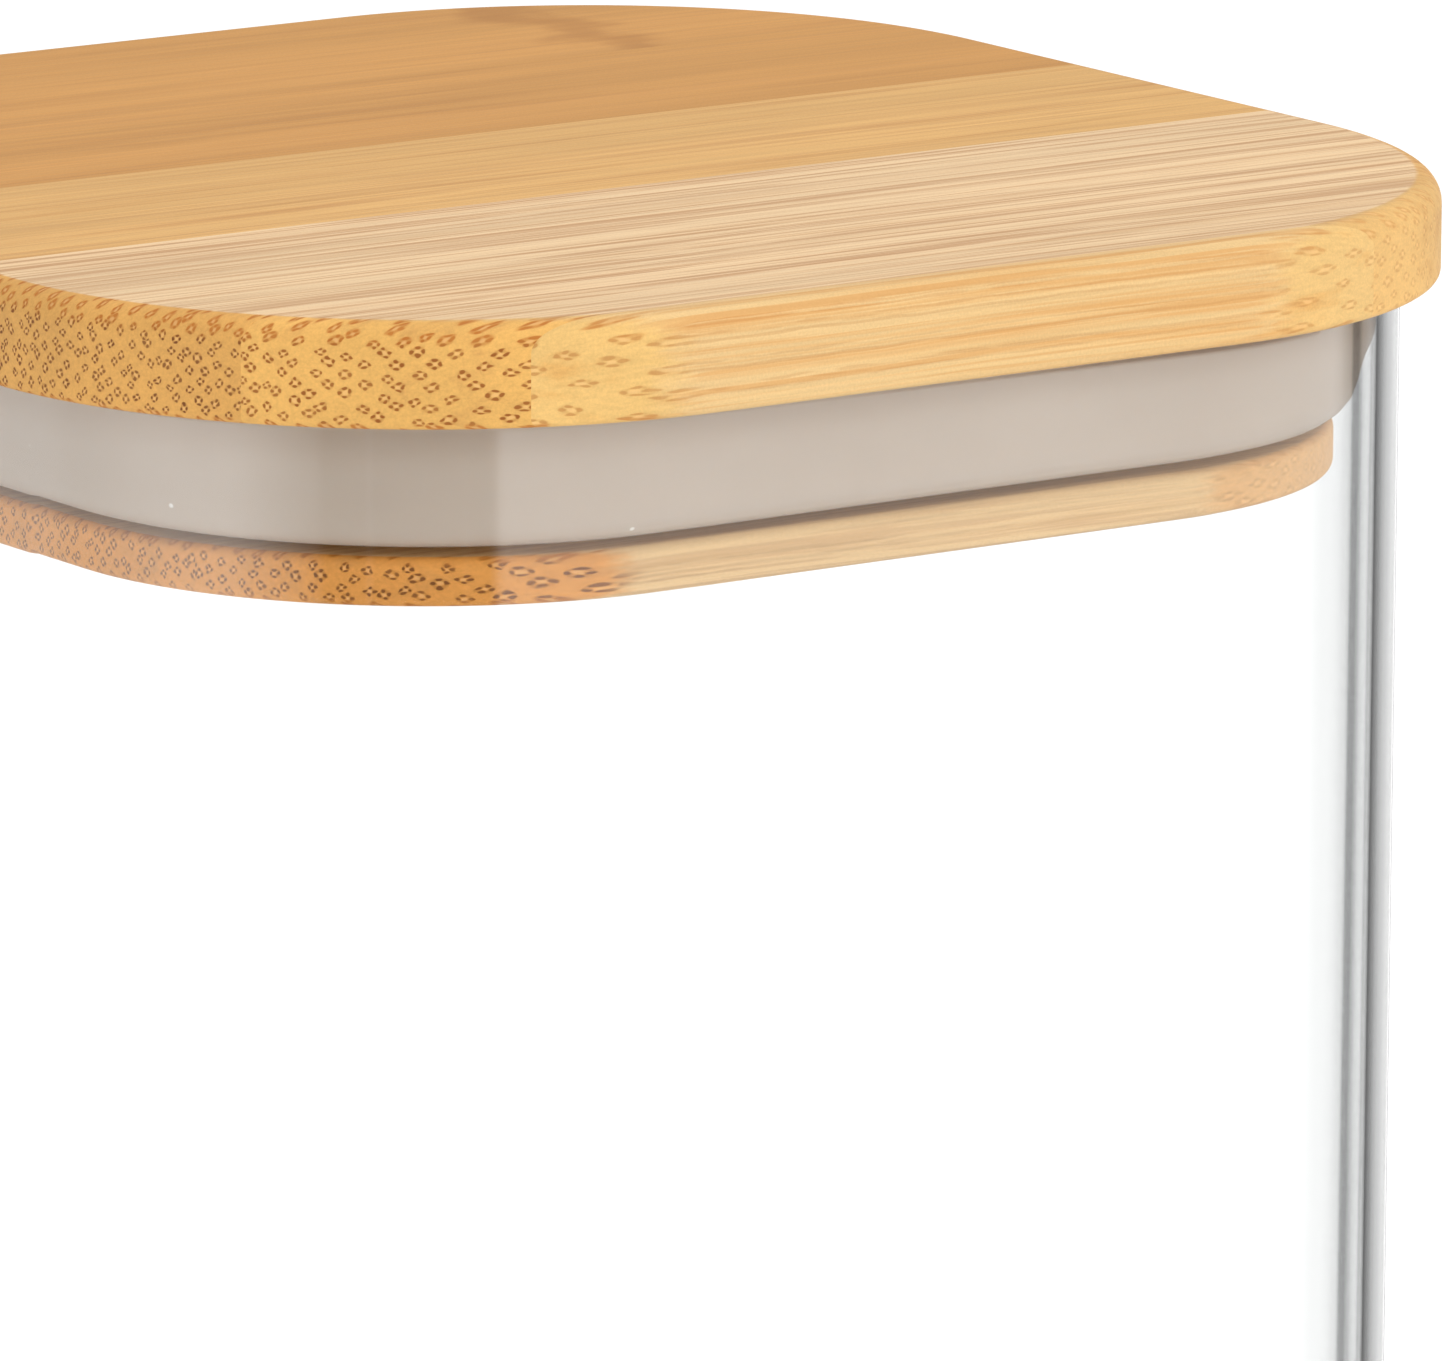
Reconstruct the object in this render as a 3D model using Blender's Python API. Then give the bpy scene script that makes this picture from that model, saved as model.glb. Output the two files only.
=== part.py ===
"""Lidded glass canister, built in Blender 4.5 from the pieces that the real one is made of.

A rounded-square glass jar stands on a flat ring. Its lid is a two-ply bamboo board, glued up from
strips: the top ply is the plate that covers the rim, and the lower ply is the plug that goes into
the mouth. A silicone seal sits in the groove between the plate and the plug's flange. The lid lifts
straight up and off.

Metres, +Z up. The origin is the centre of the ring that the jar stands on.
"""
import bmesh
import bpy
from mathutils import Vector

MM = 0.001

# Every outline is a square with round corners, and all of them share the same corner centres, so
# an outline is given by its half width alone.
CORNER_CENTRE = 19.2 * MM
CORNER_SEGMENTS = 10
GAP = 0.3 * MM

# Glass jar
JAR_HEIGHT = 163.4 * MM
GLASS_HALF = 47.5 * MM
WALL = 1.4 * MM
FLOOR = 5.0 * MM
FLOOR_ROUND = 5.0 * MM
FOOT_ROUND = 6.0 * MM
RIM_ROUND = 0.6 * MM
RING_WIDTH = 6.0 * MM
RECESS = 1.0 * MM

# Lid, measured from the underside of the plate
PLATE_HALF = 50.0 * MM
PLATE_THICKNESS = 6.3 * MM
PLATE_TOP_ROUND = 1.8 * MM
PLATE_LOWER_ROUND = 0.4 * MM
PLATE_SEAMS = (-47.7 * MM, -37.2 * MM, -13.8 * MM, 6.9 * MM, 27.5 * MM)
FLANGE_HALF = 43.5 * MM
FLANGE_BOTTOM = -11.8 * MM
FLANGE_THICKNESS = 3.0 * MM
FLANGE_ROUND = 0.5 * MM
GROOVE_HALF = 40.0 * MM
PLUG_SEAMS = (-28.6 * MM, -8.0 * MM, 12.5 * MM, 33.0 * MM)

# Silicone seal: section points as (half width, height), anticlockwise
LIP_HALF = GLASS_HALF - WALL - GAP
BAND_HALF = GROOVE_HALF + GAP
SEAL_BOTTOM = FLANGE_BOTTOM + FLANGE_THICKNESS + GAP
SEAL_SECTION = (
    (BAND_HALF, SEAL_BOTTOM),
    (42.6 * MM, SEAL_BOTTOM),
    (43.9 * MM, SEAL_BOTTOM + 0.9 * MM),
    (44.9 * MM, SEAL_BOTTOM + 2.0 * MM),
    (LIP_HALF, SEAL_BOTTOM + 3.9 * MM),
    (LIP_HALF, SEAL_BOTTOM + 7.0 * MM),
    (LIP_HALF - 0.9 * MM, SEAL_BOTTOM + 7.0 * MM),
    (LIP_HALF - 1.1 * MM, SEAL_BOTTOM + 4.2 * MM),
    (43.3 * MM, SEAL_BOTTOM + 2.3 * MM),
    (41.9 * MM, SEAL_BOTTOM + 2.3 * MM),
    (41.6 * MM, SEAL_BOTTOM + 7.6 * MM),
    (BAND_HALF, SEAL_BOTTOM + 7.6 * MM),
)
# A quarter circle drawn as one Bezier stretch has handles this share of its radius long.
ARC_HANDLE = 0.5523

# Colours are linear
GLASS_COLOUR = (0.93, 0.97, 0.96)
SILICONE_COLOUR = (0.55, 0.49, 0.42)
BAMBOO_COLOURS = (
    (0.76, 0.50, 0.24),
    (0.72, 0.44, 0.19),
    (0.79, 0.55, 0.29),
)


def clear_scene():
    """Start from an empty scene."""
    for existing in list(bpy.data.objects):
        bpy.data.objects.remove(existing, do_unlink=True)


def new_collection(name):
    """Make a collection in the scene."""
    collection = bpy.data.collections.new(name)
    bpy.context.scene.collection.children.link(collection)
    return collection


def new_material(name, colour, roughness, transmission=0.0, ior=1.5):
    """Make a plain Principled material."""
    material = bpy.data.materials.new(name)
    material.use_nodes = True
    shader = material.node_tree.nodes["Principled BSDF"]
    shader.inputs["Base Color"].default_value = (*colour, 1.0)
    shader.inputs["Roughness"].default_value = roughness
    shader.inputs["Metallic"].default_value = 0.0
    shader.inputs["Transmission Weight"].default_value = transmission
    shader.inputs["IOR"].default_value = ior
    return material


def mesh_object(bm, name, collection, material, parent=None):
    """Turn a bmesh into a named object, shaded smooth between its sharp edges."""
    bmesh.ops.recalc_face_normals(bm, faces=bm.faces)
    mesh = bpy.data.meshes.new(name)
    bm.to_mesh(mesh)
    bm.free()
    mesh.materials.append(material)
    mesh.shade_smooth()
    mesh.set_sharp_from_angle(angle=0.6)
    piece = bpy.data.objects.new(name, mesh)
    piece.parent = parent
    collection.objects.link(piece)
    return piece


def reach(point):
    """Half width of the rounded-square outline that passes through a point."""
    beyond_x = max(abs(point.x) - CORNER_CENTRE, 0.0)
    beyond_y = max(abs(point.y) - CORNER_CENTRE, 0.0)
    return CORNER_CENTRE + (beyond_x ** 2 + beyond_y ** 2) ** 0.5


def outline_edges(bm, half, height, tolerance=0.2 * MM):
    """Edges of the level outline of one half width at one height."""
    def on_it(vert):
        return abs(reach(vert.co) - half) < tolerance and abs(vert.co.z - height) < tolerance
    return [edge for edge in bm.edges if all(on_it(vert) for vert in edge.verts)]


def level_face(bm, height):
    """The middle face lying level at one height."""
    flat = [face for face in bm.faces
            if all(abs(vert.co.z - height) < GAP / 10 for vert in face.verts)]
    return min(flat, key=lambda face: max(reach(vert.co) for vert in face.verts))


def rounded_block(half, low, high):
    """Upright block with a rounded-square outline."""
    bm = bmesh.new()
    bmesh.ops.create_cube(bm, size=1.0)
    bmesh.ops.scale(bm, vec=(2 * half, 2 * half, high - low), verts=bm.verts)
    bmesh.ops.translate(bm, vec=(0, 0, (high + low) / 2), verts=bm.verts)
    upright = [edge for edge in bm.edges
               if abs(edge.verts[0].co.z - edge.verts[1].co.z) > (high - low) / 2]
    bmesh.ops.bevel(bm, geom=upright, offset=half - CORNER_CENTRE, segments=CORNER_SEGMENTS,
                    affect="EDGES", profile=0.5, material=-1)
    return bm


def step_in(bm, height, inset, new_height):
    """Inset the level face at one height and move its middle up or down."""
    face = level_face(bm, height)
    bmesh.ops.inset_region(bm, faces=[face], thickness=inset, use_even_offset=True)
    made = bmesh.ops.extrude_discrete_faces(bm, faces=[face])
    middle = made["faces"][0]
    bmesh.ops.translate(bm, vec=(0, 0, new_height - height), verts=middle.verts)


def round_outline(bm, half, height, radius, segments):
    """Round the edge that runs along one outline."""
    bmesh.ops.bevel(bm, geom=outline_edges(bm, half, height), offset=radius, segments=segments,
                    affect="EDGES", profile=0.5, material=-1)


def make_jar(collection, material):
    """Blown glass jar: one block, hollowed from above, with a recess under its floor."""
    bm = rounded_block(GLASS_HALF, 0.0, JAR_HEIGHT)
    step_in(bm, JAR_HEIGHT, WALL, FLOOR)
    step_in(bm, 0.0, FOOT_ROUND + RING_WIDTH, RECESS)
    round_outline(bm, GLASS_HALF, JAR_HEIGHT, RIM_ROUND, 2)
    round_outline(bm, GLASS_HALF - WALL, JAR_HEIGHT, RIM_ROUND, 2)
    round_outline(bm, GLASS_HALF - WALL, FLOOR, FLOOR_ROUND, 4)
    round_outline(bm, GLASS_HALF, 0.0, FOOT_ROUND, 4)
    return mesh_object(bm, "glass_jar", collection, material)


def cut_across(bm, y, keep_above):
    """Cut a solid at one y, keep one side, and close it."""
    cut = bmesh.ops.bisect_plane(bm, geom=bm.verts[:] + bm.edges[:] + bm.faces[:],
                                 plane_co=(0, y, 0), plane_no=(0, 1, 0),
                                 clear_outer=not keep_above, clear_inner=keep_above)
    edges = [item for item in cut["geom_cut"] if isinstance(item, bmesh.types.BMEdge)]
    bmesh.ops.contextual_create(bm, geom=edges)


def make_strips(board, seams, name, collection, materials, parent):
    """Split a board into its glued strips, from -Y to +Y."""
    edges = (None, *seams, None)
    for number, (low, high) in enumerate(zip(edges[:-1], edges[1:]), start=1):
        bm = board.copy()
        if low is not None:
            cut_across(bm, low + GAP / 2, keep_above=True)
        if high is not None:
            cut_across(bm, high - GAP / 2, keep_above=False)
        material = materials[number % len(materials)]
        mesh_object(bm, f"{name}_{number}", collection, material, parent)
    board.free()


def make_plate(collection, materials, parent):
    """Top ply of the lid: the plate that covers the rim."""
    board = rounded_block(PLATE_HALF, 0.0, PLATE_THICKNESS)
    round_outline(board, PLATE_HALF, PLATE_THICKNESS, PLATE_TOP_ROUND, 3)
    round_outline(board, PLATE_HALF, 0.0, PLATE_LOWER_ROUND, 1)
    make_strips(board, PLATE_SEAMS, "plate_strip", collection, materials, parent)


def make_plug(collection, materials, parent):
    """Lower ply of the lid: a core that the seal wraps, with a flange below it."""
    flange_top = FLANGE_BOTTOM + FLANGE_THICKNESS
    board = rounded_block(FLANGE_HALF, FLANGE_BOTTOM, flange_top)
    step_in(board, flange_top, FLANGE_HALF - GROOVE_HALF, -GAP)
    round_outline(board, FLANGE_HALF, flange_top, FLANGE_ROUND, 1)
    round_outline(board, FLANGE_HALF, FLANGE_BOTTOM, FLANGE_ROUND, 1)
    make_strips(board, PLUG_SEAMS, "plug_strip", collection, materials, parent)


def poly_curve(name, points, collection):
    """Closed flat curve through straight-line points, used as a section to sweep."""
    data = bpy.data.curves.new(name, "CURVE")
    data.dimensions = "2D"
    spline = data.splines.new("POLY")
    spline.points.add(len(points) - 1)
    for place, (x, y) in zip(spline.points, points):
        place.co = (x, y, 0, 1)
    spline.use_cyclic_u = True
    curve = bpy.data.objects.new(name, data)
    curve.hide_render = True
    curve.display_type = "WIRE"
    collection.objects.link(curve)
    return curve


def rounded_square_curve(name, half, collection):
    """Closed Bezier curve: four straight sides joined by quarter circles."""
    radius = half - CORNER_CENTRE
    data = bpy.data.curves.new(name, "CURVE")
    data.dimensions = "2D"
    data.fill_mode = "NONE"
    data.resolution_u = CORNER_SEGMENTS
    spline = data.splines.new("BEZIER")
    spline.bezier_points.add(7)
    spline.use_cyclic_u = True
    sides = (Vector((1, 0, 0)), Vector((0, 1, 0)), Vector((-1, 0, 0)), Vector((0, -1, 0)))
    for number, outward in enumerate(sides):
        along = Vector((-outward.y, outward.x, 0))
        for which, sign in enumerate((-1, 1)):
            knot = spline.bezier_points[2 * number + which]
            knot.co = outward * half + along * sign * CORNER_CENTRE
            knot.handle_left_type = "FREE"
            knot.handle_right_type = "FREE"
            round_handle = knot.co + along * sign * radius * ARC_HANDLE
            flat_handle = knot.co - along * sign * CORNER_CENTRE / 2
            knot.handle_left = round_handle if sign < 0 else flat_handle
            knot.handle_right = flat_handle if sign < 0 else round_handle
    curve = bpy.data.objects.new(name, data)
    collection.objects.link(curve)
    return curve


def make_seal(collection, guides, material, parent):
    """Silicone seal: a band round the plug with a lip that turns out and up to the glass."""
    path_half = (BAND_HALF + LIP_HALF) / 2
    section = poly_curve("seal_section", [(half - path_half, z) for half, z in SEAL_SECTION], guides)
    path = rounded_square_curve("seal_path", path_half, guides)
    path.data.bevel_mode = "OBJECT"
    path.data.bevel_object = section
    bpy.context.view_layer.update()
    swept = bpy.data.meshes.new_from_object(path.evaluated_get(bpy.context.evaluated_depsgraph_get()))
    bpy.data.objects.remove(path)
    bm = bmesh.new()
    bm.from_mesh(swept)
    bpy.data.meshes.remove(swept)
    bmesh.ops.remove_doubles(bm, verts=bm.verts, dist=0.01 * MM)
    return mesh_object(bm, "silicone_seal", collection, material, parent)


def main():
    clear_scene()
    parts = new_collection("lidded_glass_canister")
    guides = new_collection("guides")
    glass = new_material("clear_glass", GLASS_COLOUR, 0.02, transmission=1.0, ior=1.47)
    silicone = new_material("frosted_silicone", SILICONE_COLOUR, 0.45)
    bamboo = [new_material(f"bamboo_{number}", colour, 0.5)
              for number, colour in enumerate(BAMBOO_COLOURS, start=1)]
    make_jar(parts, glass)
    lid = bpy.data.objects.new("lid_lift_axis", None)
    lid.location = (0, 0, JAR_HEIGHT + GAP)
    parts.objects.link(lid)
    make_plate(parts, bamboo, lid)
    make_plug(parts, bamboo, lid)
    make_seal(parts, guides, silicone, lid)


main()
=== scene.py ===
# %% [markdown]
# # A lidded glass canister
#
# The canister is a rounded-square glass jar with a bamboo lid and a silicone seal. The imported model
# gives the sizes and the bodies that move; this script gives each piece its finished shape and its
# look. The lid's board is glued up from bamboo strips, so every strip is a piece of its own here.

# %% Load the frame
import math

import bmesh
import bpy
from mathutils import Matrix, Vector


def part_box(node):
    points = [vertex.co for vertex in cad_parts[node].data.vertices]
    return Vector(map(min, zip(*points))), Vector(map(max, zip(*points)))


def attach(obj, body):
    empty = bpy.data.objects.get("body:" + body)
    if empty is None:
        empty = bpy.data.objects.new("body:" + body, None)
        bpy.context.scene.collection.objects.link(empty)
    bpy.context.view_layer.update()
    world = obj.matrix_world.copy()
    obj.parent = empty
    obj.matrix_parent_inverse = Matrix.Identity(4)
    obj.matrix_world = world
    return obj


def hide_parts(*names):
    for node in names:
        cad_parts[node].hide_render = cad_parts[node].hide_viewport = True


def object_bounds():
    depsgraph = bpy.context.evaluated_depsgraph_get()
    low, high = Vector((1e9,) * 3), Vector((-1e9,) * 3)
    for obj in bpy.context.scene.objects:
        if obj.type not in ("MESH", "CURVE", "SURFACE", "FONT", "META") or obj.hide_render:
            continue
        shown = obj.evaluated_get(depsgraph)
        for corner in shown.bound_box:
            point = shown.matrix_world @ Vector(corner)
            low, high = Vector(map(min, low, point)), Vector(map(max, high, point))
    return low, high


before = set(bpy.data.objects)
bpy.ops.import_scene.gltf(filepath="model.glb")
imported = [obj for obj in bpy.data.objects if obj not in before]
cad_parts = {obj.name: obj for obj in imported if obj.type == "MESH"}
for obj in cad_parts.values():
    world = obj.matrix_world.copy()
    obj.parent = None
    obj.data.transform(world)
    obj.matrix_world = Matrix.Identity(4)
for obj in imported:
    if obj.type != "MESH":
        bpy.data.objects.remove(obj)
cad_low, cad_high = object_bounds()
print("box of the packed model, mm", [round(1000 * (b - a), 1) for a, b in zip(cad_low, cad_high)])

# %% [markdown]
# ## Sizes read from the frame
#
# Every outline of the canister is a square with round corners, and all the corners turn round the
# same four centres. A point is then placed by two numbers: its reach, which is the half width of the
# outline it lies on, and its height. The reaches and heights of the main edges come from the boxes
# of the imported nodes, so that nothing here can drift away from them.

# %% Main sizes
MM = 0.001
CORNER_CENTRE = 19.2 * MM


def nodes_named(names, word):
    """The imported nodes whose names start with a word, in order."""
    return sorted(name for name in names if name.startswith(word))


def joint_box(names):
    """Lowest and highest corner of several nodes together."""
    boxes = [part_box(name) for name in names]
    low = Vector([min(box[0][axis] for box in boxes) for axis in range(3)])
    high = Vector([max(box[1][axis] for box in boxes) for axis in range(3)])
    return low, high


plate_nodes = nodes_named(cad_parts, "plate_strip")
plug_nodes = nodes_named(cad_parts, "plug_strip")
jar_low, jar_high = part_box("glass_jar")
plate_low, plate_high = joint_box(plate_nodes)
plug_low, plug_high = joint_box(plug_nodes)
seal_low, seal_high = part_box("silicone_seal")

LID_TOP = plate_high.z
PLATE_BOTTOM = plate_low.z
RIM = jar_high.z
GLASS = jar_high.x
PLATE = plate_high.x
FLANGE = plug_high.x
FLANGE_BOTTOM = plug_low.z
WALL = 1.4 * MM
FLANGE_THICKNESS = 3.0 * MM
FLANGE_TOP = FLANGE_BOTTOM + FLANGE_THICKNESS
# Half width of the plug's core, which the seal grips.
CORE = 40.0 * MM
print("rim at", round(RIM / MM, 2), "mm, lid top at", round(LID_TOP / MM, 2), "mm")
print("packed jar from", round(jar_low.z / MM, 2), "to", round(jar_high.z / MM, 2), "mm")
print("packed seal from", round(seal_low.z / MM, 2), "to", round(seal_high.z / MM, 2), "mm")

# %% [markdown]
# ## Camera
#
# A long lens, held a little above the lid, gives a flat view: the two sides of the lid run almost
# straight, and the corner between them faces the camera. The camera could be turned by hand until the
# view is right. Here it is placed by the direction it looks back along, and then moved sideways and
# down in its own picture, so that the lid fills the top of the frame and every step can be read.

# %% Place the camera
CAMERA_AZIMUTH = math.radians(-34.891)
CAMERA_ELEVATION = math.radians(12.292)
CAMERA_ROLL = math.radians(0.2445)
CAMERA_DISTANCE = 841.70 * MM
CAMERA_RIGHT = 13.167 * MM
CAMERA_UP = -32.818 * MM
LENS_MM = 337.05


def make_camera():
    """Make the camera that looks at the lid's front corner."""
    level = math.cos(CAMERA_ELEVATION)
    back = Vector((math.sin(CAMERA_AZIMUTH) * level, -math.cos(CAMERA_AZIMUTH) * level,
                   math.sin(CAMERA_ELEVATION)))
    right = Vector((math.cos(CAMERA_AZIMUTH), math.sin(CAMERA_AZIMUTH), 0))
    up = back.cross(right)
    data = bpy.data.cameras.new("camera")
    data.lens = LENS_MM
    data.sensor_width = 36.0
    data.clip_start = 0.05
    data.clip_end = 30.0
    camera = bpy.data.objects.new("camera", data)
    bpy.context.scene.collection.objects.link(camera)
    place = Vector((0, 0, LID_TOP)) + CAMERA_DISTANCE * back + CAMERA_RIGHT * right + CAMERA_UP * up
    turn = Matrix((right, up, back)).transposed().to_4x4()
    camera.matrix_world = Matrix.Translation(place) @ turn @ Matrix.Rotation(CAMERA_ROLL, 4, "Z")
    bpy.context.scene.camera = camera
    return camera


camera = make_camera()
print("camera at", [round(value, 3) for value in camera.matrix_world.translation])

# %% [markdown]
# ## Node helpers
#
# Materials below are built from many small nodes, which could be placed by hand in the Shader Editor.
# A few helpers keep them readable in a script: one adds a node and fills its sockets with values or
# links, and the others add the small sums, noises and blends that come back again and again.

# %% Helpers for shader nodes
def add(tree, kind, sockets=None, **settings):
    """Add a node, set its options, and fill its sockets by name or number with a value or a link."""
    node = tree.nodes.new(kind)
    for name, value in settings.items():
        setattr(node, name, value)
    for name, value in (sockets or {}).items():
        if isinstance(value, bpy.types.NodeSocket):
            tree.links.new(value, node.inputs[name])
        else:
            node.inputs[name].default_value = value
    return node


def calc(tree, operation, first, second=0.0, third=0.0, clamp=False):
    """Add a Math node and return its result."""
    node = add(tree, "ShaderNodeMath", {0: first, 1: second, 2: third}, operation=operation)
    node.use_clamp = clamp
    return node.outputs[0]


def vector_calc(tree, operation, first, second):
    """Add a Vector Math node and return its vector result."""
    node = add(tree, "ShaderNodeVectorMath", {0: first, 1: second}, operation=operation)
    return node.outputs["Vector"]


def product(tree, *factors):
    """Multiply several values, from the first to the last."""
    result = factors[0]
    for factor in factors[1:]:
        result = calc(tree, "MULTIPLY", result, factor)
    return result


def flat_length(tree, first, second):
    """Length of a flat vector, from its two parts."""
    squares = calc(tree, "ADD", product(tree, first, first), product(tree, second, second))
    return calc(tree, "SQRT", squares)


def noise(tree, place, stretch, detail, roughness=0.5):
    """Add a noise on a place that is scaled along each axis first."""
    scaled = vector_calc(tree, "MULTIPLY", place, stretch)
    return add(tree, "ShaderNodeTexNoise", {"Vector": scaled, "Scale": 1.0, "Detail": detail,
                                            "Roughness": roughness})


def smooth_step(tree, value, low, high, start=0.0, end=1.0):
    """Ease from start to end while a value goes from low to high."""
    node = add(tree, "ShaderNodeMapRange", {"Value": value, "From Min": low, "From Max": high,
                                            "To Min": start, "To Max": end},
               interpolation_type="SMOOTHSTEP")
    return node.outputs["Result"]


def mix_colours(tree, factor, first, second):
    """Blend two colours."""
    node = add(tree, "ShaderNodeMix", data_type="RGBA")
    for number, value in ((0, factor), (6, first), (7, second)):
        if isinstance(value, bpy.types.NodeSocket):
            tree.links.new(value, node.inputs[number])
        else:
            node.inputs[number].default_value = value
    return node.outputs[2]


def mix_shaders(tree, factor, first, second):
    """Blend two shaders."""
    return add(tree, "ShaderNodeMixShader", {0: factor, 1: first.outputs[0], 2: second.outputs[0]})


def is_reflected(tree):
    """One where a ray has met a mirror-like reflection on its way, and zero elsewhere."""
    path = add(tree, "ShaderNodeLightPath")
    return calc(tree, "GREATER_THAN", path.outputs["Glossy Depth"], 0.5)


def carries_light(tree):
    """One for rays that only carry light to a surface, and zero for rays that are seen."""
    path = add(tree, "ShaderNodeLightPath")
    return calc(tree, "MAXIMUM", path.outputs["Is Shadow Ray"], path.outputs["Is Diffuse Ray"])


def new_group(name, inputs, outputs):
    """Make a shader node group with named sockets, and return it with its input and output nodes."""
    group = bpy.data.node_groups.new(name, "ShaderNodeTree")
    for socket, kind, value in inputs:
        made = group.interface.new_socket(socket, in_out="INPUT", socket_type=kind)
        made.default_value = value
    for socket, kind in outputs:
        group.interface.new_socket(socket, in_out="OUTPUT", socket_type=kind)
    return group, group.nodes.new("NodeGroupInput"), group.nodes.new("NodeGroupOutput")


def new_material(name):
    """Make an empty node material and return it with its tree and output."""
    material = bpy.data.materials.new(name)
    material.use_nodes = True
    tree = material.node_tree
    tree.nodes.clear()
    return material, tree, tree.nodes.new("ShaderNodeOutputMaterial")


# %% [markdown]
# ## Studio
#
# Clear glass shows only what it reflects and bends, so the studio matters as much as the material.
# Many lamps and cards could stand round the jar. One ring of brightness in the world does the same
# job and renders faster: white panels with dark gaps between them, the widest where the camera stands.
# The surroundings themselves are plain white. The Light Path node's Glossy Depth tells whether a ray
# has been reflected on its way, so the panels show in the glass and never as a backdrop. The floor
# lets such rays through, so a reflection sees the panels below it too. Two weak softboxes, hidden
# from reflections, give the wood and the seal a soft light side and a soft dark side.

# %% World
WHITE = (1.0, 1.0, 1.0, 1.0)
# Azimuth in degrees from +X, and how bright a reflection finds the studio there.
STUDIO_RING = (
    (0.0, 0.2), (4.0, 0.0), (9.0, 0.05), (15.0, 0.45), (21.0, 0.0), (27.0, 0.55), (33.0, 0.7),
    (39.0, 0.75), (45.0, 1.5), (51.0, 0.0), (57.0, 2.0), (65.0, 1.45), (75.0, 0.0), (110.0, 0.0),
    (118.0, 1.0), (140.0, 1.1), (170.0, 1.9), (187.0, 1.9), (197.0, 1.2), (209.0, 0.35), (211.0, 0.03),
    (221.6, 0.03), (222.4, 0.3), (223.2, 0.03), (245.0, 0.03), (245.7, 0.2), (246.4, 0.03),
    (252.5, 0.03), (255.0, 1.3), (348.0, 1.0), (354.0, 1.05), (359.9, 0.2),
)
# Above the horizon reflections find a dim ceiling, so the lid's top keeps its colour. The change
# from the ring to the ceiling lies between these two heights of a direction one long.
CEILING = 0.3
HORIZON_LOW = -0.05
HORIZON_HIGH = 0.08


def make_world():
    """White surroundings, with the studio's panels and dark gaps for reflections only."""
    world = bpy.data.worlds.new("studio")
    bpy.context.scene.world = world
    world.use_nodes = True
    tree = world.node_tree
    tree.nodes.clear()
    direction = add(tree, "ShaderNodeTexCoord").outputs["Generated"]
    split = add(tree, "ShaderNodeSeparateXYZ", {0: direction})
    angle = calc(tree, "ARCTAN2", split.outputs["Y"], split.outputs["X"])
    turn = calc(tree, "FRACT", calc(tree, "DIVIDE", angle, 2 * math.pi))
    ramp = add(tree, "ShaderNodeValToRGB", {0: turn})
    ramp.color_ramp.elements.remove(ramp.color_ramp.elements[1])
    brightest = max(brightness for _, brightness in STUDIO_RING)
    stops = ramp.color_ramp.elements
    for number, (degrees, brightness) in enumerate(STUDIO_RING):
        stop = stops[0] if number == 0 else stops.new(degrees / 360)
        share = brightness / brightest
        stop.position = degrees / 360
        stop.color = (share, share, share, 1.0)
    panels = calc(tree, "MULTIPLY", ramp.outputs["Color"], brightest)
    upward = smooth_step(tree, split.outputs["Z"], HORIZON_LOW, HORIZON_HIGH)
    panels = add(tree, "ShaderNodeMix", {"Factor": upward, "A": panels, "B": CEILING}).outputs["Result"]
    mix = add(tree, "ShaderNodeMix", {"Factor": is_reflected(tree), "A": 1.0, "B": panels})
    level = mix.outputs["Result"]
    background = add(tree, "ShaderNodeBackground", {"Color": WHITE, "Strength": level})
    output = tree.nodes.new("ShaderNodeOutputWorld")
    tree.links.new(background.outputs[0], output.inputs["Surface"])


make_world()
print("studio ring has", len(STUDIO_RING), "stops")

# %% Floor
FLOOR_SIZE = 12.0
FLOOR_GAP = 0.1 * MM


def make_floor():
    """A large pale floor at the foot of the jar, which reflected rays pass through."""
    bm = bmesh.new()
    bmesh.ops.create_grid(bm, x_segments=1, y_segments=1, size=FLOOR_SIZE / 2)
    bmesh.ops.translate(bm, vec=(0, 0, cad_low.z - FLOOR_GAP), verts=bm.verts)
    mesh = bpy.data.meshes.new("floor")
    bm.to_mesh(mesh)
    bm.free()
    material, tree, output = new_material("pale_floor")
    paint = add(tree, "ShaderNodeBsdfDiffuse", {"Color": (0.95, 0.95, 0.95, 1.0)})
    through = add(tree, "ShaderNodeBsdfTransparent")
    both = mix_shaders(tree, is_reflected(tree), paint, through)
    tree.links.new(both.outputs[0], output.inputs["Surface"])
    mesh.materials.append(material)
    floor = bpy.data.objects.new("floor", mesh)
    bpy.context.scene.collection.objects.link(floor)


make_floor()
print("floor is", FLOOR_SIZE, "m wide")

# %% Lights
def make_softbox(name, azimuth, elevation, distance, size, power):
    """A square softbox that looks at the canister, and that the camera can't see."""
    data = bpy.data.lights.new(name, "AREA")
    data.shape = "SQUARE"
    data.size = size
    data.energy = power
    box = bpy.data.objects.new(name, data)
    bpy.context.scene.collection.objects.link(box)
    turn = math.radians(azimuth)
    lift = math.radians(elevation)
    away = Vector((math.cos(turn) * math.cos(lift), math.sin(turn) * math.cos(lift), math.sin(lift)))
    middle = Vector((0, 0, (cad_low.z + cad_high.z) / 2))
    facing = away.to_track_quat("Z", "Y").to_matrix().to_4x4()
    box.matrix_world = Matrix.Translation(middle + distance * away) @ facing
    box.visible_camera = False
    box.visible_glossy = False
    box.visible_transmission = False


make_softbox("softbox_top", azimuth=60.0, elevation=75.0, distance=1.6, size=1.4, power=5.0)
make_softbox("softbox_right", azimuth=290.0, elevation=25.0, distance=1.5, size=1.2, power=8.0)
bpy.context.scene.view_settings.view_transform = "Standard"

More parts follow.
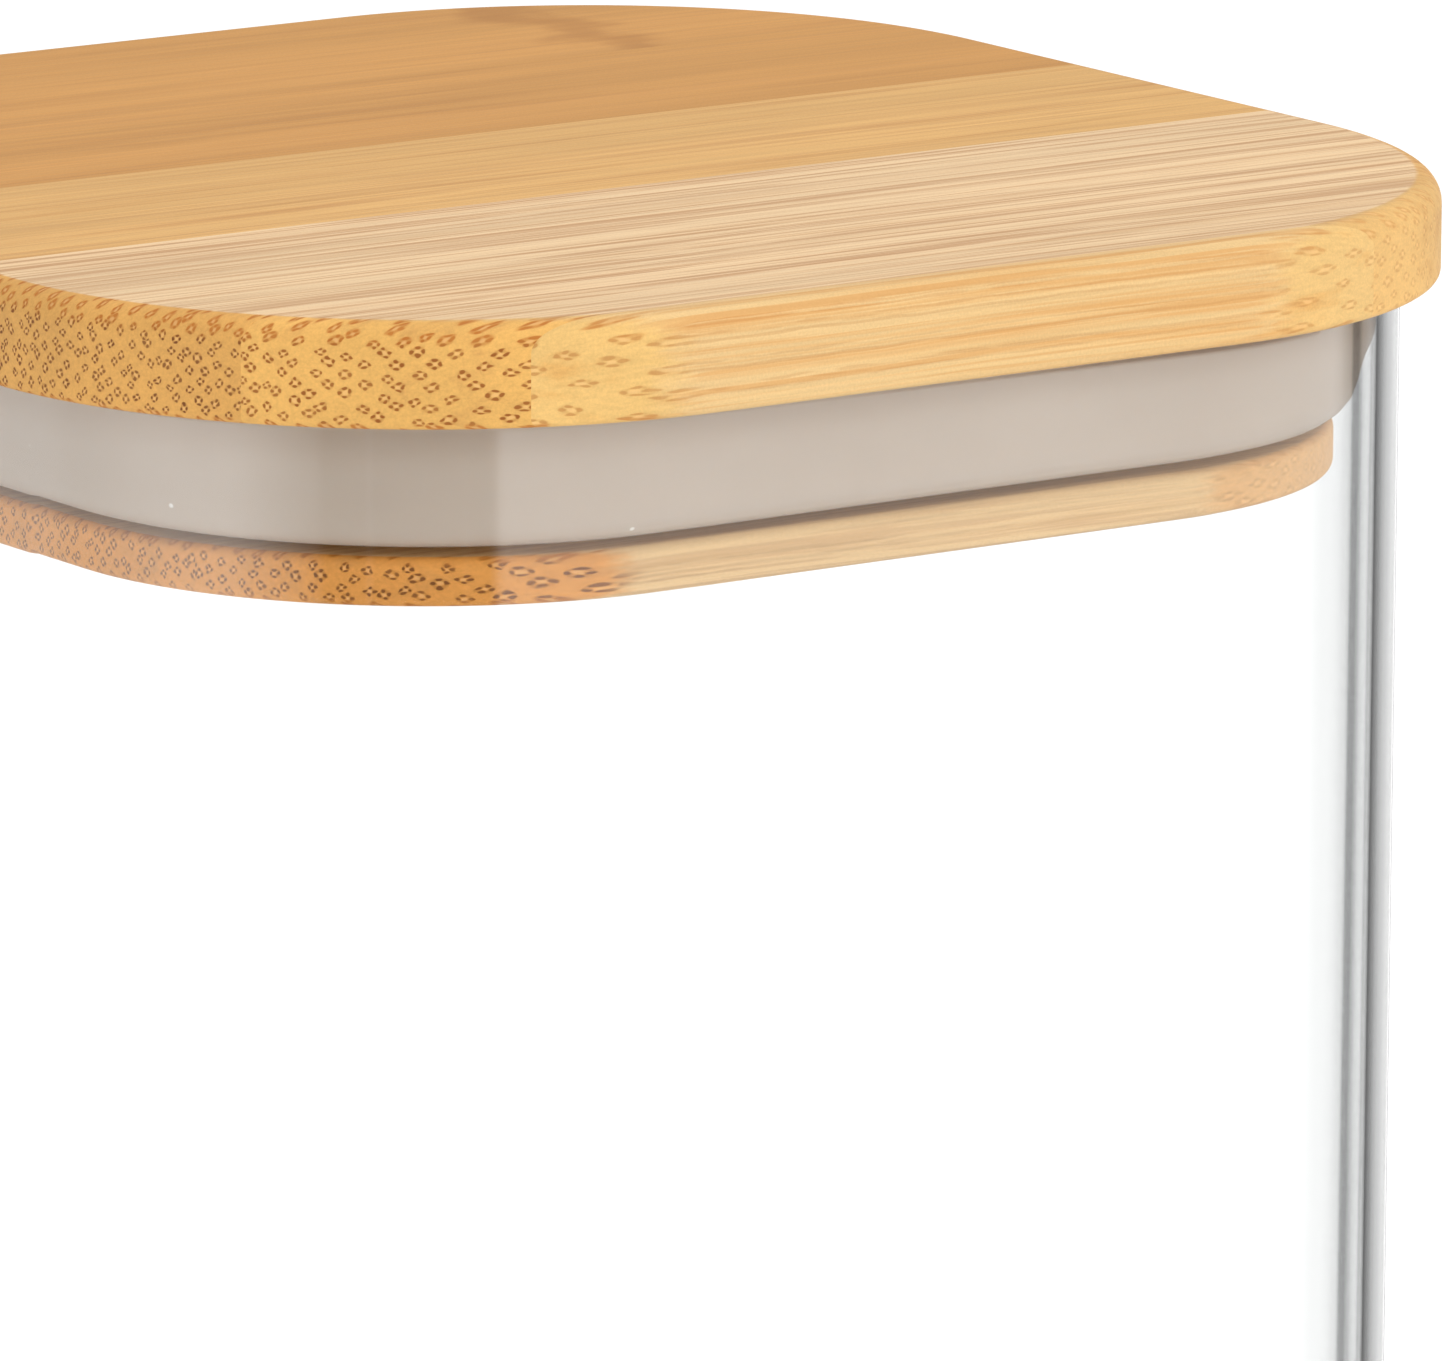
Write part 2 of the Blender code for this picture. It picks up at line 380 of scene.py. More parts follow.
# %% [markdown]
# ## Sweeping a section round the rounded square
#
# The jar, the seal and both plies of the lid are each one section carried round a square with round
# corners. Spin turns the section through a quarter circle at a corner, and an extrusion carries it
# along the straight side, four times over. That keeps the corners truly round and the sides truly
# flat, which a bevelled cube only comes close to. Edges that meet at more than a slight angle are
# marked sharp, and the Weighted Normal modifier keeps the flat faces flat in the light.

# %% Section and sweep helpers
CORNER_STEPS = 40
SHARP_ANGLE = math.radians(35)


def arc(centre, radius, start, end, steps):
    """Points of a circular arc in a section, as (reach, height), with angles in degrees."""
    points = []
    for step in range(steps + 1):
        angle = math.radians(start + (end - start) * step / steps)
        points.append((centre[0] + radius * math.cos(angle), centre[1] + radius * math.sin(angle)))
    return points


def sweep_section(points, closed):
    """Carry a section round the rounded square with spins at the corners and straight extrusions."""
    bm = bmesh.new()
    verts = [bm.verts.new((CORNER_CENTRE, -reach, height)) for reach, height in points]
    pairs = list(zip(verts, verts[1:])) + ([(verts[-1], verts[0])] if closed else [])
    moving = [bm.edges.new(pair) for pair in pairs]
    centre = Vector((CORNER_CENTRE, -CORNER_CENTRE, 0))
    along = Vector((0, 1, 0))
    quarter = Matrix.Rotation(math.pi / 2, 3, "Z")
    for _ in range(4):
        ends = {vert for edge in moving for vert in edge.verts}
        spun = bmesh.ops.spin(bm, geom=list(ends) + moving, cent=centre, axis=(0, 0, 1), dvec=(0, 0, 0),
                              angle=math.pi / 2, steps=CORNER_STEPS, use_duplicate=False)
        moving = [item for item in spun["geom_last"] if isinstance(item, bmesh.types.BMEdge)]
        drawn = bmesh.ops.extrude_edge_only(bm, edges=moving)
        new_verts = [item for item in drawn["geom"] if isinstance(item, bmesh.types.BMVert)]
        bmesh.ops.translate(bm, vec=along * 2 * CORNER_CENTRE, verts=new_verts)
        moving = [item for item in drawn["geom"] if isinstance(item, bmesh.types.BMEdge)
                  and all(vert in new_verts for vert in item.verts)]
        centre = quarter @ centre
        along = quarter @ along
    bmesh.ops.remove_doubles(bm, verts=bm.verts, dist=0.001 * MM)
    return bm


def close_ends(bm):
    """Fill the open loops that an open section leaves in the middle of the piece."""
    loose = [edge for edge in bm.edges if edge.is_boundary]
    bmesh.ops.holes_fill(bm, edges=loose, sides=0)
    bmesh.ops.recalc_face_normals(bm, faces=bm.faces)


def finish_piece(bm, name, material, body, nodes):
    """Make the finished object: smooth between its sharp edges, and riding on its body."""
    for edge in bm.edges:
        if edge.calc_face_angle(math.pi) > SHARP_ANGLE:
            edge.smooth = False
    for face in bm.faces:
        face.smooth = True
    mesh = bpy.data.meshes.new(name)
    bm.to_mesh(mesh)
    bm.free()
    mesh.materials.append(material)
    piece = bpy.data.objects.new(name, mesh)
    bpy.context.scene.collection.objects.link(piece)
    flatten = piece.modifiers.new("even_normals", "WEIGHTED_NORMAL")
    flatten.keep_sharp = True
    flatten.weight = 100
    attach(piece, body)
    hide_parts(*nodes)
    print(name, len(mesh.polygons), "faces")


# %% [markdown]
# ## Glass
#
# Clear glass is a Principled shader with full transmission and no roughness. Lamps can't be aimed
# through clear glass without a great deal of noise, so rays that only carry light to the pieces
# behind it pass straight through a faintly tinted Transparent shader instead. A very weak noise
# bump gives the long, slight waves of blown glass.
#
# A studio's backdrop has an edge too. Where a corner of the jar bends the view far enough, it looks
# past that edge, and a thin dark line stands inside the outline of the glass. The backdrop here has
# no edge, so the material paints that line into the glass's colour where it curves and is seen at that
# slant, as a painted reflection of the backdrop's dark edge. The flat walls don't bend the view, so they stay
# clear.

# %% Glass material
CLEAR = (0.985, 0.992, 0.99, 1.0)
# Grey of the painted reflection of the backdrop's dark edge.
PAINTED_EDGE_REFLECTION_GREY = (0.295, 0.298, 0.30, 1.0)
LIGHT_THROUGH_GLASS = (0.93, 0.94, 0.94, 1.0)
# The painted dark reflection line, by how steeply the surface is seen: where it starts and ends, as slants.
LINE_START = (0.560, 0.576)
LINE_END = (0.592, 0.622)
# The smaller of a normal's two level parts is near zero on a flat wall, and grows round a corner.
CURVED = (0.05, 0.15)


def painted_edge_line(tree):
    """One where a curved corner gets the painted reflection of the backdrop's dark edge, and zero elsewhere.
    """
    slant = add(tree, "ShaderNodeLayerWeight", {"Blend": 0.5}).outputs["Facing"]
    line = product(tree, smooth_step(tree, slant, *LINE_START), smooth_step(tree, slant, *LINE_END, 1.0, 0.0))
    normal = add(tree, "ShaderNodeTexCoord").outputs["Normal"]
    facing = add(tree, "ShaderNodeSeparateXYZ", {0: vector_calc(tree, "ABSOLUTE", normal, (0.0, 0.0, 0.0))})
    smaller = calc(tree, "MINIMUM", facing.outputs["X"], facing.outputs["Y"])
    seen = add(tree, "ShaderNodeLightPath").outputs["Is Camera Ray"]
    return product(tree, line, smooth_step(tree, smaller, *CURVED), seen)


def make_glass():
    """Clear soda glass with slight waves in its surface, and a painted dark reflection at its curved corners.
    """
    material, tree, output = new_material("clear_glass")
    place = add(tree, "ShaderNodeTexCoord").outputs["Object"]
    waves = noise(tree, place, (40.0, 40.0, 9.0), 1.0)
    bump = add(tree, "ShaderNodeBump", {"Height": waves.outputs["Fac"], "Strength": 0.15,
                                        "Distance": 0.1 * MM})
    # The glass's clear colour, with the painted dark reflection of the backdrop's edge on its curved corners.
    clear_with_painted_edge = mix_colours(tree, painted_edge_line(tree), CLEAR, PAINTED_EDGE_REFLECTION_GREY)
    shader = add(tree, "ShaderNodeBsdfPrincipled", {
        "Base Color": clear_with_painted_edge, "Roughness": 0.0, "IOR": 1.5, "Metallic": 0.0,
        "Transmission Weight": 1.0, "Normal": bump.outputs[0]})
    through = add(tree, "ShaderNodeBsdfTransparent", {"Color": LIGHT_THROUGH_GLASS})
    both = mix_shaders(tree, carries_light(tree), shader, through)
    tree.links.new(both.outputs[0], output.inputs["Surface"])
    return material


glass = make_glass()
print(glass.name, "has", len(glass.node_tree.nodes), "nodes")

# %% [markdown]
# ## Jar
#
# The jar is blown or pressed in one piece: thin even walls, a thicker floor, and a shallow recess
# under it, so that it stands on a ring. A cube with bevels and a Solidify modifier would come close,
# but it can't give the floor, the foot and the rim their own shapes. One section, drawn from the
# recess up the outside and down the inside, gives them all, and the floor is filled in at the end.

# %% Jar
FOOT_ROUND = 6.0 * MM
FLOOR_ROUND = 5.0 * MM
FLOOR = 5.0 * MM
RIM_ROUND = 0.3 * MM
RING_WIDTH = 6.0 * MM
RECESS = 1.0 * MM


def jar_section():
    """Section of the jar from the recess under its floor, up the outside and down the inside."""
    inner = GLASS - WALL
    ring = GLASS - FOOT_ROUND - RING_WIDTH
    points = arc((ring - RECESS, 0), RECESS, 90, 20, 4)
    points += arc((GLASS - FOOT_ROUND, FOOT_ROUND), FOOT_ROUND, -90, 0, 12)
    points += arc((GLASS - RIM_ROUND, RIM - RIM_ROUND), RIM_ROUND, 0, 90, 8)
    points += arc((inner + RIM_ROUND, RIM - RIM_ROUND), RIM_ROUND, 90, 180, 8)
    points += arc((inner - FLOOR_ROUND, FLOOR + FLOOR_ROUND), FLOOR_ROUND, 0, -90, 12)
    return points


jar_mesh = sweep_section(jar_section(), closed=False)
close_ends(jar_mesh)
finish_piece(jar_mesh, "jar", glass, "jar", ["glass_jar"])

# %% [markdown]
# ## Silicone
#
# Milky silicone lets light in and scatters it, so its shader has some subsurface light, which is
# cheaper than a volume. Its lip is so thin that light also gets right through it to the wood, so rays
# that only carry light pass it in part. Slow clouds in the colour and a rare speck of dust keep it
# from looking like paint.

# %% Silicone material
SILICONE_DARK = (0.46, 0.368, 0.297, 1.0)
SILICONE_PALE = (0.55, 0.452, 0.375, 1.0)
DUST = (0.85, 0.82, 0.78, 1.0)
DUST_RARITY = 0.9
DUST_STRENGTH = 0.7
LIGHT_THROUGH_SILICONE = (0.95, 0.92, 0.88, 1.0)
SHARE_THROUGH_SILICONE = 0.6


def dust_mask(tree, place):
    """Small round specks, in only a few of the cells of a Voronoi texture."""
    cells = add(tree, "ShaderNodeTexVoronoi", {"Vector": place, "Scale": 420.0})
    speck = smooth_step(tree, cells.outputs["Distance"], 0.05, 0.09, 1.0, 0.0)
    chance = add(tree, "ShaderNodeSeparateColor", {0: cells.outputs["Color"]}).outputs[0]
    return product(tree, speck, calc(tree, "GREATER_THAN", chance, DUST_RARITY))


def make_silicone():
    """Milky, slightly warm silicone with a satin skin and a little dust."""
    material, tree, output = new_material("milky_silicone")
    place = add(tree, "ShaderNodeTexCoord").outputs["Object"]
    cloud = noise(tree, place, (60.0, 60.0, 60.0), 3.0)
    body = mix_colours(tree, cloud.outputs["Fac"], SILICONE_DARK, SILICONE_PALE)
    colour = mix_colours(tree, product(tree, dust_mask(tree, place), DUST_STRENGTH), body, DUST)
    grain = noise(tree, place, (900.0, 900.0, 900.0), 2.0)
    bump = add(tree, "ShaderNodeBump", {"Height": grain.outputs["Fac"], "Strength": 0.06,
                                        "Distance": 0.02 * MM})
    shader = add(tree, "ShaderNodeBsdfPrincipled", {
        "Base Color": colour, "Roughness": 0.42, "IOR": 1.41, "Metallic": 0.0,
        "Subsurface Weight": 0.35, "Subsurface Radius": (0.004, 0.0032, 0.0026),
        "Subsurface Scale": 0.5, "Normal": bump.outputs[0]})
    through = add(tree, "ShaderNodeBsdfTransparent", {"Color": LIGHT_THROUGH_SILICONE})
    share = product(tree, carries_light(tree), SHARE_THROUGH_SILICONE)
    both = mix_shaders(tree, share, shader, through)
    tree.links.new(both.outputs[0], output.inputs["Surface"])
    return material


silicone = make_silicone()
print(silicone.name, "has", len(silicone.node_tree.nodes), "nodes")

# %% [markdown]
# ## Seal
#
# The seal is one moulded ring. Its inner band grips the plug's core, its foot rests on the flange,
# and its outer side leans out until the lip lies against the glass, with a shallow groove between
# band and lip. It is swept like the jar, but from a closed section. Glass never presses a lip evenly,
# so its top is then let down by a slow wave round the jar, with two finer ripples in it.

# %% Seal
SEAL_TOP = PLATE_BOTTOM - 0.3 * MM
CORE_GAP = 0.05 * MM
FLANGE_GAP = 0.02 * MM
LIP_GAP = 0.05 * MM
LIP_THICKNESS = 1.3 * MM
LIP_EDGE = 0.2 * MM
LIP_TOP = SEAL_TOP - 0.15 * MM
LIP_RISE = 6.8 * MM
BAND_THICKNESS = 1.3 * MM
GROOVE_DEPTH = 0.7 * MM
GROOVE_SLOPE = 0.3 * MM
# Outer side of the seal from its foot to its lip, in millimetres: reach, and rise above the flange.
SEAL_SIDE = (
    (41.5, 0.35), (42.8, 0.5), (43.6, 0.75), (44.2, 1.2), (44.7, 1.9), (45.0, 2.8), (45.2, 3.7),
    (45.45, 4.6), (45.75, 5.4), (45.95, 6.1),
)


def seal_section():
    """Closed section of the seal: the band's foot, out to the lip, up it, and back down inside."""
    lip = GLASS - WALL - LIP_GAP
    lip_back = lip - LIP_THICKNESS
    band = CORE + CORE_GAP
    band_front = band + BAND_THICKNESS
    foot = FLANGE_TOP + FLANGE_GAP
    groove = LIP_TOP - GROOVE_DEPTH
    points = [(band, foot)]
    points += [(reach * MM, foot + rise * MM) for reach, rise in SEAL_SIDE]
    points += [(lip, foot + LIP_RISE)]
    points += arc((lip - LIP_EDGE, LIP_TOP - LIP_EDGE), LIP_EDGE, 0, 90, 4)
    points += arc((lip_back + LIP_EDGE, LIP_TOP - LIP_EDGE), LIP_EDGE, 90, 170, 4)
    points += [(lip_back - GROOVE_SLOPE, groove), (band_front + GROOVE_SLOPE, groove)]
    points += [(band_front, SEAL_TOP), (band, SEAL_TOP)]
    return points


# Heights of the wave in the lip's top, in millimetres, and the place where it is deepest.
LIP_DROP = 0.27
LIP_WAVE = 0.24
LIP_RIPPLE = 0.02
LIP_WAVE_PLACE = 2.0
LIP_FROM = 44.0 * MM
LIP_BELOW = 1.0 * MM


def wave_lip(bm):
    """Let the top of the lip sink and rise a little round the jar."""
    for vert in bm.verts:
        outer = max(abs(vert.co.x), abs(vert.co.y)) > LIP_FROM
        if outer and vert.co.z > SEAL_TOP - LIP_BELOW:
            angle = math.atan2(vert.co.y, vert.co.x)
            wave = LIP_DROP + LIP_WAVE * math.cos(2 * angle + LIP_WAVE_PLACE)
            ripple = LIP_RIPPLE * math.sin(9 * angle) + LIP_RIPPLE * math.sin(23 * angle)
            vert.co.z -= (wave + ripple) * MM


seal_mesh = sweep_section(seal_section(), closed=True)
wave_lip(seal_mesh)
bmesh.ops.recalc_face_normals(seal_mesh, faces=seal_mesh.faces)
finish_piece(seal_mesh, "seal", silicone, "lid", ["silicone_seal"])

# %% [markdown]
# ## Bamboo
#
# Bamboo isn't like timber: it has no rings. Its stalk is a pale ground with hundreds of dark fibre
# bundles running along it. Cut across, each bundle shows as a small ring of brown dots round a pale
# middle. Cut along, it shows as fine lines. One solid pattern gives both: a Voronoi texture in the
# plane across the fibres places the bundles, and it hardly changes along them, so any cut through the
# board shows what the real one would. A picture of bamboo on each face could not do that, and its
# edges would never meet. The strips share the pattern as a node group, each with its own values.
#
# The bundles stand in rows that are shifted by half a step, which is a square grid turned by 45
# degrees. Each is a little out of its place, leans a little, and is narrower than it is tall.

# %% Place in a fibre bundle
BUNDLE_JITTER = 0.5
BUNDLE_SLIM = 1.2


def bundle_place(group, crossing, spacing):
    """Where a point stands in its nearest bundle, across and along it, and that bundle's chances."""
    axes = add(group, "ShaderNodeSeparateXYZ", {0: crossing})
    rising = calc(group, "DIVIDE", calc(group, "ADD", axes.outputs["Y"], axes.outputs["Z"]), spacing)
    falling = calc(group, "DIVIDE", calc(group, "SUBTRACT", axes.outputs["Y"], axes.outputs["Z"]), spacing)
    plane = add(group, "ShaderNodeCombineXYZ", {0: rising, 1: falling}).outputs[0]
    cells = add(group, "ShaderNodeTexVoronoi", {"Vector": plane, "Scale": 1.0, "Randomness": BUNDLE_JITTER},
                voronoi_dimensions="2D")
    chance = add(group, "ShaderNodeSeparateColor", {0: cells.outputs["Color"]})
    away = vector_calc(group, "SUBTRACT", plane, cells.outputs["Position"])
    local = add(group, "ShaderNodeSeparateXYZ", {0: away})
    half = calc(group, "MULTIPLY", spacing, 0.5)
    sideways = product(group, calc(group, "ADD", local.outputs["X"], local.outputs["Y"]), half)
    upward = product(group, calc(group, "SUBTRACT", local.outputs["X"], local.outputs["Y"]), half)
    lean = calc(group, "MULTIPLY_ADD", chance.outputs[1], 0.5, -0.25)
    across = calc(group, "MULTIPLY_ADD", upward, lean, sideways)
    along = calc(group, "SUBTRACT", upward, product(group, sideways, lean))
    size = add(group, "ShaderNodeMapRange", {"Value": chance.outputs[0], "To Min": 1.12, "To Max": 0.88})
    slim = product(group, size.outputs[0], BUNDLE_SLIM)
    across = product(group, calc(group, "ABSOLUTE", across), slim)
    along = product(group, calc(group, "ABSOLUTE", along), size.outputs[0])
    return across, along, chance


# %% Bundles across the fibres
# How far the dots of a bundle stand from its middle, and where each mask fades out, in millimetres.
DOT_PLACE = 0.21
DOT_FLATNESS = 0.8
DOT_FADE = (0.055, 0.125)
RING_FADE = (0.02, 0.1)
RING_STRENGTH = 0.28
MIDDLE_FADE = (0.05, 0.15)
WHOLE_FADE = (0.24, 0.38)


def bundle_masks(group, crossing, spacing):
    """Dark dots, pale middle and whole patch of the fibre bundles."""
    across, along, chance = bundle_place(group, crossing, spacing)
    # Four dots stand round the middle, so one dot is enough once the plane is folded on its diagonals.
    far = calc(group, "SUBTRACT", calc(group, "MAXIMUM", across, along), DOT_PLACE)
    near = calc(group, "MINIMUM", across, along)
    from_dot = flat_length(group, far, product(group, near, DOT_FLATNESS))
    dots = smooth_step(group, from_dot, *DOT_FADE, 1.0, 0.0)
    from_middle = flat_length(group, across, along)
    from_ring = calc(group, "ABSOLUTE", calc(group, "SUBTRACT", from_middle, DOT_PLACE))
    ring = smooth_step(group, from_ring, *RING_FADE, RING_STRENGTH, 0.0)
    strength = add(group, "ShaderNodeMapRange", {"Value": chance.outputs[2], "To Min": 0.8, "To Max": 1.0})
    dark = product(group, calc(group, "MAXIMUM", dots, ring), strength.outputs[0])
    middle = smooth_step(group, from_middle, *MIDDLE_FADE, 1.0, 0.0)
    whole = smooth_step(group, from_middle, *WHOLE_FADE, 1.0, 0.0)
    return dark, middle, whole


# %% [markdown]
# ## Lines on the long faces
#
# A planed face runs along the fibres, so it shows threads as fine lines that come and go while the
# fibres drift in and out of it. A second Voronoi texture gives threads that can be told apart, and a
# noise stretched along the fibres gives the softer strands between them.

# %% Threads and strands
def line_mask(group, crossing, spacing, reach, low):
    """Fine lines that show where a long face passes close to a thread of fibre."""
    scaled = vector_calc(group, "MULTIPLY", crossing, (0.0, 1.0 / spacing, 1.0 / spacing))
    axes = add(group, "ShaderNodeSeparateXYZ", {0: scaled})
    plane = add(group, "ShaderNodeCombineXYZ", {0: axes.outputs["Y"], 1: axes.outputs["Z"]}).outputs[0]
    threads = add(group, "ShaderNodeTexVoronoi", {"Vector": plane, "Scale": 1.0}, voronoi_dimensions="2D")
    chance = add(group, "ShaderNodeSeparateColor", {0: threads.outputs["Color"]})
    mask = smooth_step(group, threads.outputs["Distance"], 0.35 * reach, reach, 1.0, 0.0)
    strength = add(group, "ShaderNodeMapRange", {"Value": chance.outputs[0], "To Min": low, "To Max": 1.0})
    return product(group, mask, strength.outputs[0])


def all_lines(group, wandering):
    """Fine threads, broader threads and soft strands, whichever is strongest."""
    fine = line_mask(group, wandering, spacing=0.42, reach=0.28, low=0.15)
    elsewhere = vector_calc(group, "ADD", wandering, (0.0, 7.0, 3.0))
    broad = line_mask(group, elsewhere, spacing=0.8, reach=0.26, low=0.35)
    strands = noise(group, wandering, (0.016, 1.6, 1.6), 4.0, 0.65)
    strand = smooth_step(group, strands.outputs["Fac"], 0.5, 0.61, 0.0, 0.85)
    return calc(group, "MAXIMUM", calc(group, "MAXIMUM", fine, broad), strand)


# %% [markdown]
# ## Cuts, knots and ground
#
# The normal tells how a surface cuts the fibres: across them on an end, along them on a long face,
# and at a slant on a rounded edge, where real bundles show redder and longer. A slight noise in it
# makes the change from lines to dots ragged. Where the stalk had a node the fibres cross over, and
# that leaves a brown smudge right across a strip.

# %% Masks of the cut
# Parts of the normal, along X, Y and Z, between which a face becomes an end, a side or a level part.
END_CUT = (0.03, 0.17)
SIDE_CUT = (0.02, 0.14)
LEVEL_CUT = (0.1, 0.6)


def sway(group, place, stretch, detail, width):
    """How far a noise moves the fibres sideways at a place, in millimetres."""
    moving = noise(group, place, stretch, detail)
    centred = vector_calc(group, "SUBTRACT", moving.outputs["Color"], (0.5, 0.5, 0.5))
    return vector_calc(group, "MULTIPLY", centred, (0.0, width, width))


def cut_masks(group, normal, here):
    """How much a surface is an end of the fibres, a side of the board, and a rounded or level part."""
    facing = add(group, "ShaderNodeSeparateXYZ", {0: normal})
    ragged = noise(group, here, (0.5, 3.0, 3.0), 2.0)
    slant = calc(group, "ADD", calc(group, "ABSOLUTE", facing.outputs["X"]),
                 calc(group, "MULTIPLY_ADD", ragged.outputs["Fac"], 0.12, -0.06))
    endness = smooth_step(group, slant, *END_CUT)
    sideness = smooth_step(group, calc(group, "ABSOLUTE", facing.outputs["Y"]), *SIDE_CUT)
    rounded = smooth_step(group, calc(group, "ABSOLUTE", facing.outputs["Z"]), *LEVEL_CUT)
    return endness, sideness, rounded


# %% Knot
KNOT_STRENGTH = 0.42
KNOT_FADE = (0.4, 4.0)
# How far the noise moves the smudge along the strip, in millimetres.
KNOT_WANDER = 12.0
KNOT_BROWN = (0.36, 0.145, 0.035, 1.0)


def knot_mask(group, board, length, node_place):
    """A smudge across the strip, at a place along it that a noise moves to and fro."""
    smudge = noise(group, board, (0.12, 0.2, 0.2), 3.0)
    moved = calc(group, "MULTIPLY_ADD", smudge.outputs["Fac"], KNOT_WANDER, length)
    middle = calc(group, "ADD", node_place, KNOT_WANDER / 2)
    away = calc(group, "ABSOLUTE", calc(group, "SUBTRACT", moved, middle))
    return smooth_step(group, away, *KNOT_FADE, KNOT_STRENGTH, 0.0)


# %% [markdown]
# ## The fibre group
#
# The group puts the parts together: ground, brown streaks and knot first, then the lines of the long
# faces, then the bundles of the ends. It works in millimetres, because that is how bamboo is measured.
# "Shift" moves each strip to its own part of the pattern. "Far End" says how much of the bundles' dark
# colour is left at the +X end: a stalk is much darker at one end than at the other.

# %% Bamboo fibre group
PALE_MIDDLE = (0.85, 0.52, 0.22, 1.0)
PALE_MIDDLE_STRENGTH = 0.35
# The bundles fade along X between these two places, in millimetres, from full colour to "Far End".
FADE_PLACES = (-25.0, 35.0)
FIBRE_INPUTS = (
    ("Shift", "NodeSocketVector", (0.0, 0.0, 0.0)),
    ("Spacing", "NodeSocketFloat", 1.28),
    ("Bundle Strength", "NodeSocketFloat", 1.0),
    ("Face Bundle Strength", "NodeSocketFloat", 0.2),
    ("Far End", "NodeSocketFloat", 0.4),
    ("Line Strength", "NodeSocketFloat", 0.5),
    ("Streak Strength", "NodeSocketFloat", 0.3),
    ("Node Place", "NodeSocketFloat", 500.0),
    ("Face Colour", "NodeSocketColor", (0.6, 0.38, 0.19, 1.0)),
    ("Edge Colour", "NodeSocketColor", (0.66, 0.43, 0.18, 1.0)),
    ("End Colour", "NodeSocketColor", (0.55, 0.28, 0.08, 1.0)),
    ("Fibre Colour", "NodeSocketColor", (0.18, 0.056, 0.01, 1.0)),
    ("Slant Colour", "NodeSocketColor", (0.46, 0.155, 0.022, 1.0)),
    ("Line Colour", "NodeSocketColor", (0.42, 0.19, 0.07, 1.0)),
    ("Streak Colour", "NodeSocketColor", (0.50, 0.24, 0.07, 1.0)),
)
FIBRE_OUTPUTS = (
    ("Colour", "NodeSocketColor"), ("Roughness", "NodeSocketFloat"), ("Height", "NodeSocketFloat"))


def make_fibre_group():
    """Solid pattern of bamboo, with fibres along X. Lengths inside the group are millimetres."""
    group, given, result = new_group("bamboo_fibres", FIBRE_INPUTS, FIBRE_OUTPUTS)
    value = given.outputs
    coordinates = add(group, "ShaderNodeTexCoord")
    board = vector_calc(group, "MULTIPLY", coordinates.outputs["Object"], (1000.0, 1000.0, 1000.0))
    length = add(group, "ShaderNodeSeparateXYZ", {0: board}).outputs["X"]
    here = vector_calc(group, "ADD", board, value["Shift"])

    # The bundles wander a little as they run, and are never quite round.
    wandering = vector_calc(group, "ADD", here, sway(group, here, (0.014, 0.06, 0.06), 2.0, 1.6))
    shaken = vector_calc(group, "ADD", wandering, sway(group, here, (0.3, 2.2, 2.2), 1.0, 0.3))
    dark, middle, whole = bundle_masks(group, shaken, value["Spacing"])
    endness, sideness, rounded = cut_masks(group, coordinates.outputs["Normal"], here)
    fading = smooth_step(group, length, *FADE_PLACES, 1.0, value["Far End"])

    # Ground: face or end colour, brown streaks, then broad tones, fine hairs, speckle and the knot.
    tone = noise(group, wandering, (0.012, 0.16, 0.16), 3.0)
    hair = noise(group, wandering, (0.05, 4.0, 4.0), 3.0, 0.6)
    brown = noise(group, wandering, (0.022, 0.55, 0.55), 4.0, 0.55)
    speckle = noise(group, here, (6.0, 6.0, 6.0), 2.0, 0.7)
    face = mix_colours(group, sideness, value["Face Colour"], value["Edge Colour"])
    cut = product(group, endness, calc(group, "MULTIPLY_ADD", fading, 0.75, 0.25))
    ground = mix_colours(group, cut, face, value["End Colour"])
    streak = product(group, smooth_step(group, brown.outputs["Fac"], 0.5, 0.72), value["Streak Strength"])
    ground = mix_colours(group, streak, ground, value["Streak Colour"])
    shade = calc(group, "ADD", smooth_step(group, tone.outputs["Fac"], 0.3, 0.7, 0.94, 1.06),
                 smooth_step(group, hair.outputs["Fac"], 0.3, 0.7, -0.05, 0.05))
    shade = calc(group, "ADD", shade, smooth_step(group, speckle.outputs["Fac"], 0.3, 0.7, -0.05, 0.05))
    shaded = add(group, "ShaderNodeVectorMath", {0: ground, "Scale": shade}, operation="SCALE")
    knot = knot_mask(group, board, length, value["Node Place"])
    toned = mix_colours(group, knot, shaded.outputs["Vector"], KNOT_BROWN)

    # Lines on the long faces.
    on_face = calc(group, "SUBTRACT", 1.0, endness)
    fade = smooth_step(group, tone.outputs["Fac"], 0.35, 0.6, 0.75, 1.0)
    shown_lines = product(group, on_face, fade, value["Line Strength"])
    lines = product(group, all_lines(group, wandering), shown_lines)
    lined = mix_colours(group, lines, toned, value["Line Colour"])

    # Each bundle stands in a warmer patch, and shows redder where the rounded edge cuts it at a slant.
    warm = product(group, whole, endness, calc(group, "MULTIPLY_ADD", rounded, 0.45, 0.12))
    warmed = mix_colours(group, product(group, warm, fading), lined, value["Slant Colour"])
    lit = mix_colours(group, product(group, middle, endness, PALE_MIDDLE_STRENGTH), warmed, PALE_MIDDLE)
    shown = add(group, "ShaderNodeMix", {"Factor": endness, "A": value["Face Bundle Strength"],
                                         "B": value["Bundle Strength"]}).outputs["Result"]
    fibre = product(group, dark, shown, fading)
    fibre_colour = mix_colours(group, rounded, value["Fibre Colour"], value["Slant Colour"])
    group.links.new(mix_colours(group, fibre, lit, fibre_colour), result.inputs["Colour"])

    # Hairs make the sheen uneven, and fibres and lines lie a little lower than the ground.
    rough = calc(group, "MULTIPLY_ADD", hair.outputs["Fac"], 0.16, 0.44)
    group.links.new(rough, result.inputs["Roughness"])
    height = calc(group, "SUBTRACT", product(group, hair.outputs["Fac"], 0.5),
                  calc(group, "ADD", fibre, lines))
    group.links.new(height, result.inputs["Height"])
    return group


fibre_group = make_fibre_group()
print(fibre_group.name, "has", len(fibre_group.nodes), "nodes")

